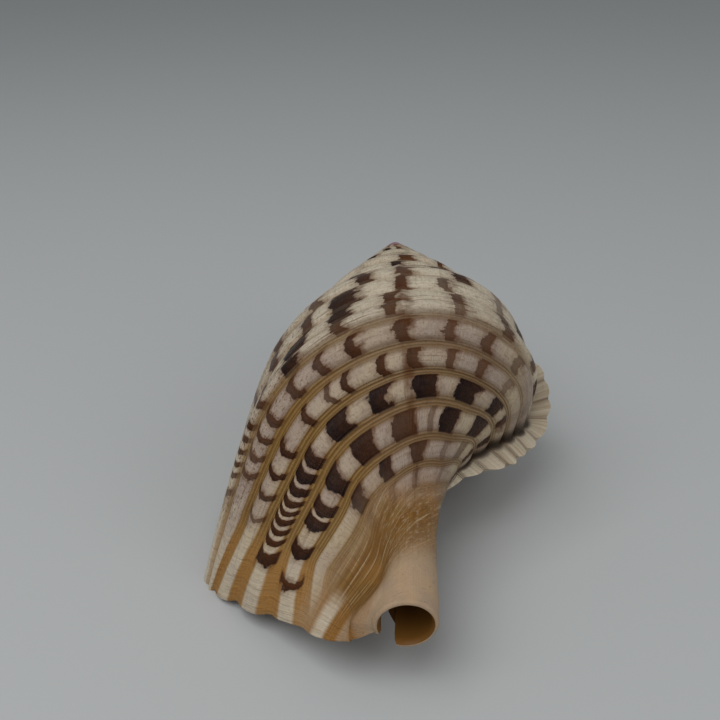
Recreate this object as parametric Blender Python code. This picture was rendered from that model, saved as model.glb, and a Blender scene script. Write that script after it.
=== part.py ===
"""Giant triton shell, one piece, lying on its mouth with the canal towards -Y.

Metres, +Z up. The outside is a right-handed coil with spiral cords and raised varices.
It is hollow from the mouth back into the spire, and the canal is an open bore with a slit.
A place on the coil is given by t, in turns before the lip (0 at the lip, negative before it),
and by s, across a whorl (0 at its upper suture, 1 at its lower one, 2 at the end of the canal).
"""
import math

import bmesh
import bpy
import numpy as np
from mathutils import Matrix

# The coil. Radii and heights are shares of the shell's length, apex to canal end.
LENGTH = 0.300
GROWTH = 1.506
TURNS = 7
LIP_AZIMUTH = math.radians(153.35)
PROFILE_S = (0.0, 0.12, 0.35, 0.6, 0.8, 1.0, 1.2, 1.4, 1.6, 1.8, 2.0)
PROFILE_RADIUS = (0.1676, 0.180, 0.224, 0.246, 0.250, 0.2524, 0.213, 0.158, 0.075, 0.035, 0.079)
PROFILE_HEIGHT = (0.4934, 0.5145, 0.551, 0.628, 0.697, 0.7431, 0.787, 0.832, 0.890, 0.953, 1.0)
SPIRE_BULGE = 0.016

# The canal's outer tube and where its end sits beside the coil's axis.
CANAL_RADIUS = 0.0399
CANAL_SHIFT = (-0.0209, 0.0157)
CANAL_START_S = 1.35

# The flared lip: how far it spreads and drops, and over what share of a turn.
FLARE = 0.0884
FLARE_TURN = 0.147
FLARE_MIDDLE = -0.104
DROP = 0.0753
DROP_TURN = 0.378

# How far the lip's edge lies off that plain flare: out from the axis, then down.
LIP_S = (0.0, 0.6, 0.8, 0.9, 1.0, 1.1, 1.2, 1.3, 1.4, 1.5, 1.6, 1.7, 1.8, 1.9, 2.0)
LIP_OUT = (0.0, 0.003, 0.007, 0.004, -0.003, -0.0075, -0.0085, -0.0097, -0.009, -0.0016, -0.001,
           -0.010, -0.011, 0.001, 0.0)
LIP_DOWN = (0.0, 0.0, -0.009, -0.007, -0.006, -0.006, -0.007, -0.007, -0.003, -0.0046, 0.0,
            -0.002, 0.003, 0.011, 0.0)

# The web that fills the corner between lip and canal, and the waist in front of the last varix.
WEB = 0.022
WEB_TURN = 0.19
WEB_S = (1.88, 0.075)
WAIST = 0.010
WAIST_T = (-0.575, 0.045)
WAIST_S = (0.95, 0.3)

# Spiral grooves, numbered across the whorl: where each one runs, how far it sags before the
# lip, and how far it spreads at the lip's edge.
GROOVE_NUMBER = (-8.0, -4.0, -3.0, -2.0, -1.0, 0.0, 1.0, 2.0, 3.0, 4.0, 8.0)
GROOVE_S = (-0.03, 0.58, 0.73, 0.87, 1.03, 1.165, 1.30, 1.40, 1.48, 1.545, 1.80)
GROOVE_SAG = (0.0, 0.0, 0.0, 0.0, 0.02, 0.035, 0.035, 0.035, 0.035, 0.03, 0.0)
GROOVE_SPREAD = (0.0, 0.0, 0.0, 0.0, -0.03, -0.12, -0.07, 0.015, 0.07, 0.11, 0.0)
GROOVE_WIDTH = 0.19
CORD_HEIGHT = 0.0055

# Varices: thick ribs across the whorls, gentle behind and steep in front.
VARIX_FIRST_ROW = 37
VARIX_EVERY_ROWS = 38
VARIX_S = (0.0, 0.2, 0.4, 0.6, 0.8, 0.9, 1.0, 1.1, 1.2, 1.3, 1.4, 1.5, 1.62, 2.0)
VARIX_HEIGHT = (0.0, 0.030, 0.055, 0.057, 0.060, 0.054, 0.040, 0.041, 0.046, 0.054, 0.060, 0.034,
                0.0, 0.0)
VARIX_BACK_TURN = 0.12
VARIX_LEAN = (0.15, 0.55)
OLDER_VARIX = 0.40

# Walls and the hollow.
WALL = 0.011
LIP_WALL = 0.006
GLAZE = 0.005
HOLLOW_TURNS = 3.6
HOLLOW_PAST_LIP = 0.09
HOLLOW_START_S = 0.12
HOLLOW_END_S = (1.47, 1.80)
HOLLOW_OPENS_TURN = 0.11
BORE_RADIUS = (0.0275, 0.0315)
SLIT_WIDTH = (0.013, 0.036)
SLIT_ABOVE = (-0.016, -0.002)
SLIT_NEAR = (0.026, 0.008)

# The grid: rows to a turn, and the finished solid's triangles.
ROWS = 60
HOLLOW_ROWS = 36
TRIANGLES = 9200

# The pose at rest: turned about X and Y, and where the point at 0.65 of the length sits.
PIVOT = 0.65
REST_TILT = math.radians(6.92)
REST_ROLL = math.radians(0.47)
REST_PLACE = (0.0099, -0.0413, 0.0491)


def ease(low, high, x):
    """Smooth step from 0 at low to 1 at high."""
    u = np.clip((x - low) / (high - low), 0.0, 1.0)
    return u * u * (3.0 - 2.0 * u)


def bell(x, centre, width):
    """Rounded bump of height 1 about a centre."""
    return np.exp(-((x - centre) / width) ** 2)


def natural_spline(knots, values, x):
    """Cubic curve through the points, with no bend at its two ends."""
    knots, values = np.asarray(knots), np.asarray(values)
    step = np.diff(knots)
    slope = np.diff(values) / step
    size = len(knots)
    system = np.eye(size)
    right = np.zeros(size)
    for i in range(1, size - 1):
        system[i, i - 1:i + 2] = (step[i - 1], 2 * (step[i - 1] + step[i]), step[i])
        right[i] = 6 * (slope[i] - slope[i - 1])
    bend = np.linalg.solve(system, right)
    k = np.clip(np.searchsorted(knots, x) - 1, 0, size - 2)
    a, b = knots[k + 1] - x, x - knots[k]
    h = step[k]
    return ((bend[k] * a ** 3 + bend[k + 1] * b ** 3) / (6 * h)
            + (values[k] / h - bend[k] * h / 6) * a + (values[k + 1] / h - bend[k + 1] * h / 6) * b)


def coil(t, s):
    """The smooth coil at (t, s): the profile grows by GROWTH each turn and turns about -Z.

    Towards s = 2 the growth fades into the canal's fixed ring, and near t = 0 the lip
    spreads out and down. Returns points in metres with the apex at 0 and the axis along Z.
    """
    t, s = np.broadcast_arrays(np.asarray(t, float), np.asarray(s, float))
    canal = ease(CANAL_START_S, 2.0, s)
    growth = GROWTH ** (t * (1.0 - canal))
    radius = natural_spline(PROFILE_S, PROFILE_RADIUS, s) * growth * (1.0 - canal)
    radius = radius + canal * CANAL_RADIUS
    height = natural_spline(PROFILE_S, PROFILE_HEIGHT, s) * growth
    bulge = SPIRE_BULGE * np.sin(np.pi * np.clip(s, 0.0, 1.0)) ** 2
    radius = radius + bulge * growth * (1.0 - ease(-1.3, -0.9, t))
    spread = np.clip(1.0 + t / FLARE_TURN, 0.0, 1.0) ** (3.0 - ease(0.9, 1.3, s))
    spread = spread * (1.0 + FLARE_MIDDLE * bell(s, 0.8, 0.35))
    radius = radius + FLARE * spread * ease(0.0, 0.4, s) * (1.0 - ease(1.7, 2.0, s))
    radius = radius + spread * natural_spline(LIP_S, LIP_OUT, s)
    web = np.clip(1.0 + t / WEB_TURN, 0.0, 1.0) * np.clip(-t / 0.05, 0.0, 1.0)
    radius = radius + WEB * web * bell(s, *WEB_S) * (1.0 - ease(1.93, 2.0, s))
    radius = radius - WAIST * bell(t, *WAIST_T) * bell(s, *WAIST_S)
    fall = np.clip(1.0 + t / DROP_TURN, 0.0, 1.0) ** 2
    height = height + DROP * fall * ease(0.1, 0.9, s) * (1.0 - ease(1.6, 2.0, s))
    height = height + spread * natural_spline(LIP_S, LIP_DOWN, s)
    azimuth = LIP_AZIMUTH - 2.0 * np.pi * t
    aside = ease(1.4, 2.0, s)
    x = radius * np.cos(azimuth) + aside * CANAL_SHIFT[0]
    y = radius * np.sin(azimuth) + aside * CANAL_SHIFT[1]
    return np.stack([x, y, -height], axis=-1) * LENGTH


def outward(t, s):
    """Unit normal of the smooth coil, pointing away from its hollow."""
    d = 1e-4
    along = coil(t + d, s) - coil(t - d, s)
    across = coil(t, s + d) - coil(t, s - d)
    normal = np.cross(along, across)
    return normal / np.linalg.norm(normal, axis=-1, keepdims=True)


def scale_at(t, s):
    """How much smaller the shell was when it grew the place (t, s)."""
    return GROWTH ** (t * (1.0 - ease(CANAL_START_S, 2.0, s)))


def groove_places(t):
    """Where each numbered groove runs at t, as a list of values of s."""
    sag = ease(-0.55, -0.42, t) * (1.0 - 0.45 * ease(-0.28, -0.16, t))
    spread = np.clip(1.0 + t / 0.06, 0.0, 1.0) ** 1.5
    return [s + a * sag + b * spread for s, a, b in zip(GROOVE_S, GROOVE_SAG, GROOVE_SPREAD)]


def groove_count(t, s):
    """Number and fraction of the grooves passed at (t, s), straight between each two."""
    places = groove_places(t)
    count = GROOVE_NUMBER[0]
    for here, there, step in zip(places, places[1:], np.diff(GROOVE_NUMBER)):
        count = count + step * np.clip((s - here) / (there - here), 0.0, 1.0)
    return count


def cords(t, s):
    """Height of the spiral cords: flat tops parted by rounded grooves."""
    count = groove_count(t, s)
    groove = bell(count - np.round(count), 0.0, GROOVE_WIDTH)
    fade = ease(0.0, 0.07, s) * (1.0 - 0.85 * ease(1.46, 1.64, s)) * (1.0 - ease(1.72, 1.90, s))
    fade = fade * (1.0 - 0.55 * (1.0 - ease(0.8, 1.1, s)) * ease(-1.0, -0.8, t))
    return CORD_HEIGHT * (0.3 - groove) * fade * scale_at(t, s)


def varices(t, s):
    """Height of the varices at (t, s): a slow rise behind each one and a steep front."""
    share = np.zeros(np.broadcast(t, s).shape)
    row, full = VARIX_FIRST_ROW, 1.0
    while row < TURNS * ROWS:
        past = t + row / ROWS
        rise = np.clip(1.0 + past / VARIX_BACK_TURN, 0.0, 1.0) ** 1.8
        front = np.clip(1.0 - past * ROWS, 0.0, 1.0)
        share = np.maximum(share, full * np.where(past <= 0.0, rise, front))
        row, full = row + VARIX_EVERY_ROWS, OLDER_VARIX
    share = share * np.where(t >= -1.0, 1.0, 1.0 - ease(0.72, 1.0, s))
    return share * np.maximum(natural_spline(VARIX_S, VARIX_HEIGHT, s), 0.0)


def outside(t, s):
    """The finished outside: the coil raised by its cords and by its forward-leaning varices.

    The rise keeps to the half-plane through the axis, so that the lip stays in one plane.
    """
    t, s = np.broadcast_arrays(np.asarray(t, float), np.asarray(s, float))
    varix, relief = varices(t, s), cords(t, s)
    scallop = 1.0 + 12.0 * relief / scale_at(t, s)
    leaning = t + varix * (VARIX_LEAN[0] + VARIX_LEAN[1] * (1.0 - ease(0.6, 1.05, s)))
    lift = (relief + varix * scallop * scale_at(t, s)) * LENGTH
    normal = outward(leaning, s)
    azimuth = LIP_AZIMUTH - 2.0 * np.pi * leaning
    turning = np.stack([-np.sin(azimuth), np.cos(azimuth), np.zeros_like(azimuth)], axis=-1)
    normal = normal - turning * np.sum(normal * turning, axis=-1, keepdims=True)
    return coil(leaning, s) + normal * lift[..., None]


def cross_samples(t):
    """Places across the whorl at each t: four to a cord, then an even spread along the canal."""
    parts = np.array((0.0, 0.2, 0.5, 0.8))
    places = groove_places(t[:, None])
    grooves = np.concatenate([0.0 * t[:, None] + place for place in places], axis=1)
    early = np.linspace(grooves[:, 0], grooves[:, 1], 5, axis=1)
    grooves = np.concatenate([early[:, :-1], grooves[:, 1:10]], axis=1)
    steps = np.diff(grooves, axis=1)[:, :, None]
    cord_columns = (grooves[:, :-1, None] + steps * parts).reshape(len(t), -1)
    canal = np.linspace(grooves[:, -1], np.full(len(t), 2.0), 9, axis=1)
    columns = np.concatenate([cord_columns, canal], axis=1)
    columns[:, 0] = 0.0
    suture = int(np.argmin(np.abs(columns[0] - 1.0)))
    columns[:, suture] = 1.0
    return columns, suture


def closed_mesh(name, points, faces):
    """Object from points and faces, as it stands, with its faces turned outwards."""
    mesh = bpy.data.meshes.new(name)
    mesh.from_pydata([tuple(p) for p in points], [], faces)
    work = bmesh.new()
    work.from_mesh(mesh)
    bmesh.ops.triangulate(work, faces=work.faces)
    bmesh.ops.recalc_face_normals(work, faces=work.faces)
    work.to_mesh(mesh)
    work.free()
    piece = bpy.data.objects.new(name, mesh)
    bpy.context.scene.collection.objects.link(piece)
    return piece


def solid_outside():
    """The whole outside as one closed skin: coil, apex cap, mouth plane and canal end."""
    spire_rows = np.arange(-TURNS * ROWS, 0)
    t = np.arange(-TURNS * ROWS, 1) / ROWS
    across, suture = cross_samples(t)
    columns = across.shape[1]
    upper = outside(t[:, None], across[:, :suture])
    lower = outside(t[-ROWS - 1:, None], across[-ROWS - 1:, suture:])
    points = np.concatenate([upper.reshape(-1, 3), lower.reshape(-1, 3)])
    start = upper.shape[0] * suture
    width = columns - suture
    ring = start + (width - 1)

    def at(row, column):
        """Vertex at a row counted from the lip and a column across the whorl."""
        if column < suture:
            return (row + TURNS * ROWS) * suture + column
        if row <= -ROWS and column == suture:
            return at(row + ROWS, 0)
        if column == columns - 1 and row == 0:
            return ring
        return start + (row + ROWS) * width + (column - suture)

    faces = []
    for row in spire_rows:
        for column in range(columns - 1 if row >= -ROWS else suture):
            faces.append((at(row, column), at(row + 1, column),
                          at(row + 1, column + 1), at(row, column + 1)))
    # The blunt apex closes the first turn.
    first = -TURNS * ROWS
    rim = [at(row, 0) for row in range(first, first + ROWS + 1)]
    start_edge = [at(first, column) for column in range(suture, -1, -1)]
    apex = len(points)
    tip = (0.0, 0.0, -0.7 * PROFILE_HEIGHT[0] * GROWTH ** -TURNS * LENGTH)
    points = np.concatenate([points, [tip]])
    faces += [(here, following, apex) for here, following in zip(rim, rim[1:])]
    faces.append(tuple(start_edge + [apex]))
    # The mouth's plane lies between the lip and the whorl before it.
    lip = [at(0, column) for column in range(columns)]
    inner = [at(-ROWS, column) for column in range(suture, columns)]
    faces.append(tuple(lip + inner[-2:0:-1]))
    # The canal's end is a flat disc.
    centre = len(points)
    end = [at(row, columns - 1) for row in range(-ROWS, 0)]
    points = np.concatenate([points, [points[end].mean(axis=0)]])
    faces += [(here, following, centre) for here, following in zip(end, end[1:] + end[:1])]
    used = sorted({v for face in faces for v in face})
    order = {v: i for i, v in enumerate(used)}
    return points[used], [tuple(order[v] for v in face) for face in faces]


def tube(rings):
    """Closed skin of a tube given as an array of rings of points, with both ends filled."""
    count, size = rings.shape[:2]
    points = rings.reshape(-1, 3)
    faces = []
    for i in range(count - 1):
        for j in range(size):
            k = (j + 1) % size
            faces.append((i * size + j, i * size + k, (i + 1) * size + k, (i + 1) * size + j))
    ends = np.array([rings[0].mean(axis=0), rings[-1].mean(axis=0)])
    points = np.concatenate([points, ends])
    for j in range(size):
        k = (j + 1) % size
        faces.append((k, j, count * size))
        faces.append(((count - 1) * size + j, (count - 1) * size + k, count * size + 1))
    return points, faces


def hollow():
    """The inside of the last turns, a D-shaped tube between a whorl and the one before.

    Its lower end opens out towards the canal as it nears the lip.
    """
    rings = []
    count = round((HOLLOW_TURNS + HOLLOW_PAST_LIP) * HOLLOW_ROWS)
    fine = np.linspace(1.0, 1.98, 99)
    for t in np.linspace(-HOLLOW_TURNS, HOLLOW_PAST_LIP, count + 1):
        end = HOLLOW_END_S[0] + np.ptp(HOLLOW_END_S) * ease(-HOLLOW_OPENS_TURN, 0.0, t)
        s = np.linspace(HOLLOW_START_S, end, 16)
        wall = WALL + (LIP_WALL - WALL) * ease(-0.05, 0.0, t)
        inset = wall * LENGTH * scale_at(t, s)[:, None]
        outer = coil(t, s) - outward(t, s) * inset
        before = coil(t - 1.0, fine)
        foot = np.interp(-outer[-1, 2] - 0.025 * LENGTH * GROWTH ** t, -before[:, 2], fine)
        s = np.linspace(foot, 1.06, 9)
        proud = GLAZE * LENGTH * scale_at(t - 1.0, s)[:, None]
        inner = coil(t - 1.0, s) + outward(t - 1.0, s) * proud
        rings.append(np.concatenate([outer, inner]))
    return tube(np.array(rings))


def canal_bore():
    """Round bore from the canal's end, bending aside into the mouth's hollow."""
    heights = np.array([1.03, 0.99, 0.94, 0.89, 0.84, 0.79, 0.75])
    aside = np.array([0.0, 0.0, 0.002, 0.014, 0.036, 0.062, 0.085])
    radius = BORE_RADIUS[0] + np.ptp(BORE_RADIUS) * ease(0.88, 0.97, heights)[:, None, None]
    swing = math.radians(180.0)
    follow = ease(0.80, 1.0, heights)
    centres = np.stack([follow * CANAL_SHIFT[0] + aside * math.cos(swing),
                        follow * CANAL_SHIFT[1] + aside * math.sin(swing), -heights], axis=-1)
    along = np.gradient(centres, axis=0)
    along = along / np.linalg.norm(along, axis=-1, keepdims=True)
    side = np.cross(along, (0.0, 1.0, 0.0))
    side = side / np.linalg.norm(side, axis=-1, keepdims=True)
    up = np.cross(side, along)
    angle = np.linspace(0.0, 2.0 * np.pi, 25)[:-1]
    circle = (np.cos(angle)[None, :, None] * side[:, None] + np.sin(angle)[None, :, None] * up[:, None])
    return tube((centres[:, None] + radius * circle) * LENGTH)


def canal_slit():
    """Blade that opens the canal's wall all along the lip's side of it, widest at the end."""
    away = np.array([math.cos(LIP_AZIMUTH), math.sin(LIP_AZIMUTH), 0.0])
    over = np.array([math.sin(LIP_AZIMUTH), -math.cos(LIP_AZIMUTH), 0.0])
    rings = []
    for height, reach in ((0.79, 0.085), (0.86, 0.08), (0.90, 0.08), (0.95, 0.075), (1.03, 0.075)):
        follow = float(ease(0.80, 1.0, height))
        middle = np.array([follow * CANAL_SHIFT[0], follow * CANAL_SHIFT[1], -height])
        wide = SLIT_WIDTH[0] + np.ptp(SLIT_WIDTH) * float(ease(0.88, 0.98, height))
        above = SLIT_ABOVE[0] + np.ptp(SLIT_ABOVE) * float(ease(0.86, 0.93, height))
        near = SLIT_NEAR[0] - np.ptp(SLIT_NEAR) * float(ease(0.86, 0.95, height))
        corners = ((near, above), (reach, above), (reach, wide), (near, wide))
        rings.append([middle + a * away + b * over for a, b in corners])
    return tube(np.array(rings) * LENGTH)


def to_rest(points):
    """Lay the shell on its mouth: apex towards +Y, canal towards -Y, mouth down."""
    lay = np.array(((1.0, 0.0, 0.0), (0.0, 0.0, 1.0), (0.0, -1.0, 0.0)))
    turn = Matrix.Rotation(REST_TILT, 3, "X") @ Matrix.Rotation(REST_ROLL, 3, "Y")
    turn = np.array(turn) @ lay
    pivot = np.array((0.0, 0.0, -PIVOT * LENGTH))
    return (points - pivot) @ turn.T + np.array(REST_PLACE)


def cut_with(piece, name, points, faces):
    """Take a shape away from the piece."""
    cutter = closed_mesh(name, points, faces)
    cutter.hide_render = True
    cutter.display_type = "WIRE"
    boolean = piece.modifiers.new(name, "BOOLEAN")
    boolean.operation = "DIFFERENCE"
    boolean.solver = "EXACT"
    boolean.object = cutter


def ground():
    """Block below the surface that the shell lies on, which wears its lowest points flat."""
    half, depth = 0.4 * LENGTH, 0.1 * LENGTH
    rings = []
    for z in (-depth, 0.0):
        rings.append([(x * half, y * half * 2.0, z) for x, y in ((-1, -1), (1, -1), (1, 1), (-1, 1))])
    return tube(np.array(rings))


def shell_material():
    """Cream shell with a soft gloss."""
    material = bpy.data.materials.new("shell")
    material.use_nodes = True
    surface = material.node_tree.nodes["Principled BSDF"]
    surface.inputs["Base Color"].default_value = (0.62, 0.52, 0.41, 1.0)
    surface.inputs["Roughness"].default_value = 0.35
    surface.inputs["Metallic"].default_value = 0.0
    return material


def main():
    for old in list(bpy.data.objects):
        bpy.data.objects.remove(old)
    points, faces = solid_outside()
    shell = closed_mesh("shell", to_rest(points), faces)
    shell.data.materials.append(shell_material())
    for name, (points, faces) in (("hollow", hollow()), ("bore", canal_bore()), ("slit", canal_slit())):
        cut_with(shell, name, to_rest(points), faces)
    view = bpy.context.evaluated_depsgraph_get()
    whole = shell.evaluated_get(view).to_mesh()
    whole.calc_loop_triangles()
    lighter = shell.modifiers.new("lighter", "DECIMATE")
    lighter.ratio = TRIANGLES / len(whole.loop_triangles)
    cut_with(shell, "ground", *ground())
    shell.data.shade_smooth()


main()
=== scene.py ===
"""Giant triton shell on a plain pale table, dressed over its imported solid.

A place on the coil is given by t, in turns before the lip (0 at the lip, negative before it),
and by s, across a whorl (0 at its upper suture, 1 at its lower one, 2 at the end of the canal).
"""

import math
from types import SimpleNamespace

import bmesh
import bpy
import numpy as np
from bpy.props import FloatProperty, FloatVectorProperty, IntProperty, PointerProperty
from mathutils import Matrix, Vector


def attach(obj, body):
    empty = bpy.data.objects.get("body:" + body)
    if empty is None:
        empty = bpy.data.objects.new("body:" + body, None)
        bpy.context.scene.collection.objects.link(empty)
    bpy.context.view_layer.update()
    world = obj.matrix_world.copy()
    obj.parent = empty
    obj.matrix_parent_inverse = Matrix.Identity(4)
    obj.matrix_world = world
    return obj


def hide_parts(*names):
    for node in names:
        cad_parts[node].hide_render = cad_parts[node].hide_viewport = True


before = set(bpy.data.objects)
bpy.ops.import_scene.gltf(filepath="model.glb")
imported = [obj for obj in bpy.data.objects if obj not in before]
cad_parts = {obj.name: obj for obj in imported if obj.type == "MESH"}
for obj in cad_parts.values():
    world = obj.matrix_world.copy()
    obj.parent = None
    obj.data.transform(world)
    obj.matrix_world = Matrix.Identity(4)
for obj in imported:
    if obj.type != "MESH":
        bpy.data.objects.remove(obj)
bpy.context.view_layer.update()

bl_info = {
    "name": "Giant Triton Shell",
    "version": (1, 0, 0),
    "blender": (4, 5, 0),
    "location": "View3D > Sidebar > Triton",
    "description": "Builds a giant triton shell with cords, varices, a flared lip and markings",
    "category": "Object",
}

# Sizes are shares of the shell's length, except where metres are named.
# The coil's outline across a whorl, and how much the spire's whorls bulge past it.
PROFILE_S = (0.0, 0.12, 0.35, 0.6, 0.8, 1.0, 1.2, 1.4, 1.6, 1.8, 2.0)
PROFILE_RADIUS = (0.1676, 0.180, 0.224, 0.246, 0.250, 0.2524, 0.213, 0.158, 0.075, 0.035, 0.079)
PROFILE_HEIGHT = (0.4934, 0.5145, 0.551, 0.628, 0.697, 0.7431, 0.787, 0.832, 0.890, 0.953, 1.0)
SPIRE_BULGE = 0.003
# How far the lip's edge lies off the plain flared outline: out from the axis, then down.
LIP_S = (0.0, 0.6, 0.8, 0.9, 1.0, 1.1, 1.2, 1.3, 1.4, 1.5, 1.6, 1.7, 1.8, 1.9, 2.0)
LIP_OUT = (0.0, 0.003, 0.007, 0.004, -0.003, -0.0075, -0.0085, -0.0097, -0.009, -0.0016, -0.001,
           -0.010, -0.011, 0.001, 0.0)
LIP_DOWN = (0.0, 0.0, -0.009, -0.007, -0.006, -0.006, -0.007, -0.007, -0.003, -0.0046, 0.0,
            -0.002, 0.003, 0.011, 0.0)
# The worn tip: its radius, its half length, and how far below the apex its middle is.
TIP_RADIUS = 0.0180
TIP_HALF = 0.0370
TIP_HEIGHT = 0.0575
# Height of the last varix across the whorl. The older ones keep a share of it.
VARIX_S = (0.0, 0.2, 0.4, 0.6, 0.8, 0.9, 1.0, 1.1, 1.2, 1.3, 1.4, 1.5, 1.62, 2.0)
VARIX_HEIGHT = (0.0, 0.030, 0.055, 0.057, 0.060, 0.054, 0.040, 0.041, 0.046, 0.054, 0.060, 0.034,
                0.0, 0.0)
VARIX_TURNS = (37.0 / 60.0, 38.0 / 60.0)
OLDER_VARIX = 0.08
# Spiral grooves, numbered across the whorl: where each one runs, how far it sags before the
# lip, and how far it spreads at the lip's edge.
GROOVE_NUMBER = (-8.0, -4.0, -3.0, -2.0, -1.0, 0.0, 1.0, 2.0, 3.0, 4.0, 8.0)
GROOVE_S = (-0.03, 0.58, 0.73, 0.87, 1.03, 1.165, 1.30, 1.40, 1.48, 1.545, 1.80)
GROOVE_SAG = (0.0, 0.0, 0.0, 0.0, 0.02, 0.035, 0.035, 0.035, 0.035, 0.03, 0.0)
GROOVE_SPREAD = (0.0, 0.0, 0.0, 0.0, -0.03, -0.12, -0.07, 0.015, 0.07, 0.11, 0.0)
# The marks of the last half turn on each band between two grooves, oldest first: middle,
# half width, tone from chocolate 0 to rust 1, and strength.
MARKS = {
    -7: ((-0.5, 0.0079, 0.62, 0.8), (-0.42, 0.0066, 0.62, 0.7), (-0.345, 0.009, 0.5, 0.9),
         (-0.25, 0.0059, 0.52, 0.9), (-0.17, 0.0066, 0.52, 0.9), (-0.09, 0.004, 0.62, 0.8)),
    -6: ((-0.49, 0.0079, 0.62, 0.8), (-0.41, 0.0059, 0.62, 0.6), (-0.365, 0.010, 0.4, 1),
         (-0.262, 0.0066, 0.42, 0.9), (-0.18, 0.0059, 0.52, 0.8), (-0.1, 0.004, 0.62, 0.8)),
    -5: ((-0.5, 0.0066, 0.52, 0.7), (-0.44, 0.0053, 0.62, 0.5), (-0.385, 0.010, 0.35, 1),
         (-0.315, 0.0059, 0.72, 0.9), (-0.272, 0.0066, 0.37, 1), (-0.215, 0.0046, 0.52, 0.8),
         (-0.158, 0.0053, 0.52, 0.9), (-0.1, 0.0033, 0.62, 0.8)),
    -4: ((-0.48, 0.009, 0.2, 1), (-0.437, 0.0046, 0.62, 0.6), (-0.36, 0.004, 0.6, 0.8),
         (-0.312, 0.0046, 0.72, 1), (-0.25, 0.0144, 0.15, 1), (-0.208, 0.0053, 0.42, 0.9),
         (-0.16, 0.0053, 0.42, 0.9), (-0.12, 0.0033, 0.52, 0.8), (-0.09, 0.0026, 0.62, 0.8)),
    -3: ((-0.5, 0.0073, 0.42, 0.8), (-0.437, 0.0059, 0.52, 0.9), (-0.372, 0.004, 0.72, 0.9),
         (-0.3, 0.0059, 0.72, 1), (-0.247, 0.0099, 0.15, 1), (-0.196, 0.0126, 0.05, 1),
         (-0.15, 0.0046, 0.52, 0.9), (-0.12, 0.0033, 0.42, 0.9), (-0.1, 0.002, 0.52, 0.7),
         (-0.085, 0.002, 0.62, 0.7)),
    -2: ((-0.5, 0.0066, 0.52, 0.8), (-0.437, 0.0059, 0.62, 0.8), (-0.372, 0.004, 0.82, 0.7),
         (-0.3, 0.0046, 0.72, 0.9), (-0.247, 0.0046, 0.62, 0.9), (-0.192, 0.0081, 0.05, 1),
         (-0.149, 0.0033, 0.52, 0.9), (-0.128, 0.0026, 0.42, 1), (-0.116, 0.002, 0.42, 0.9),
         (-0.104, 0.002, 0.42, 0.9), (-0.093, 0.002, 0.52, 0.9), (-0.083, 0.002, 0.52, 0.8),
         (-0.068, 0.002, 0.62, 0.7)),
    -1: ((-0.47, 0.0053, 0.62, 0.6), (-0.414, 0.0053, 0.72, 0.8), (-0.362, 0.0046, 0.72, 0.8),
         (-0.308, 0.0059, 0.52, 0.9), (-0.254, 0.0046, 0.42, 1), (-0.219, 0.004, 0.42, 0.9),
         (-0.185, 0.004, 0.42, 0.9), (-0.15, 0.0033, 0.42, 0.9), (-0.13, 0.0026, 0.42, 0.9),
         (-0.112, 0.002, 0.52, 0.8), (-0.095, 0.002, 0.52, 0.8)),
    0: ((-0.48, 0.0053, 0.72, 0.5), (-0.42, 0.0059, 0.82, 0.8), (-0.37, 0.0046, 0.72, 0.8),
        (-0.32, 0.0066, 0.52, 0.9), (-0.28, 0.004, 0.42, 1), (-0.235, 0.004, 0.32, 1),
        (-0.213, 0.0026, 0.42, 0.8), (-0.179, 0.0033, 0.37, 1), (-0.138, 0.0033, 0.27, 1),
        (-0.112, 0.0026, 0.22, 1), (-0.089, 0.002, 0.32, 0.9), (-0.0675, 0.0013, 0.52, 0.7)),
    1: ((-0.490, 0.014, 0.1, 1.0), (-0.413, 0.023, 0.0, 1.0), (-0.337, 0.019, 0.0, 1.0),
        (-0.267, 0.0145, 0.0, 1.0), (-0.204, 0.016, 0.0, 1.0), (-0.152, 0.008, 0.1, 1.0),
        (-0.131, 0.008, 0.0, 1.0), (-0.113, 0.006, 0.1, 1.0), (-0.0985, 0.004, 0.3, 1.0),
        (-0.088, 0.003, 0.3, 1.0), (-0.0785, 0.0035, 0.3, 1.0), (-0.068, 0.003, 0.35, 1.0),
        (-0.057, 0.003, 0.4, 1.0), (-0.043, 0.005, 0.35, 1.0)),
    2: ((-0.489, 0.020, 0.15, 1.0), (-0.398, 0.020, 0.0, 1.0), (-0.357, 0.005, 0.6, 0.5),
        (-0.300, 0.024, 0.45, 0.9), (-0.219, 0.020, 0.2, 1.0), (-0.152, 0.014, 0.05, 1.0),
        (-0.112, 0.008, 0.15, 1.0), (-0.092, 0.008, 0.1, 1.0), (-0.058, 0.006, 0.1, 1.0),
        (-0.028, 0.002, 0.6, 1.0)),
    3: ((-0.485, 0.014, 0.5, 0.5), (-0.420, 0.008, 0.7, 0.4), (-0.333, 0.020, 0.4, 0.9),
        (-0.243, 0.014, 0.1, 1.0), (-0.162, 0.016, 0.2, 0.95)),
    4: ((-0.44, 0.008, 0.8, 0.3), (-0.33, 0.010, 0.7, 0.5), (-0.25, 0.010, 0.7, 0.4),
        (-0.16, 0.010, 0.7, 0.3)),
}
# Older marks, before those: how many to a turn, and where they begin and end.
MARKS_PER_TURN = 13.0
OLDER_MARKS = (-7.1, -0.56)
# Where growth starts to fade into the canal, and how far the canal's end lies off the axis.
CANAL_START_S = 1.35
CANAL_SHIFT = (-0.0209, 0.0157)
# The scar of a healed break before the lip: its turn, how far it leans, and where across.
SCAR_T, SCAR_LEAN, SCAR_S = -0.314, -0.02, (1.4, 1.6)
# Folds across the inner lip, to one whole step of s.
FOLDS = 17.0
# How the rows of a turn are spread: more of them towards the lip.
ROW_SHARES = (0.0, 0.55, 0.775, 1.0)
ROW_TURNS = (-1.0, -0.28, -0.10, 0.0)
# Points across each whorl, newest first, and from its lower suture to the canal's end.
PER_WHORL = (96, 72, 40, 24, 16, 10, 8)
TO_CANAL = 90
# Angles at which a thick edge is rounded over.
QUARTER = np.linspace(0.0, 0.5 * np.pi, 6)[1:]
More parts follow.
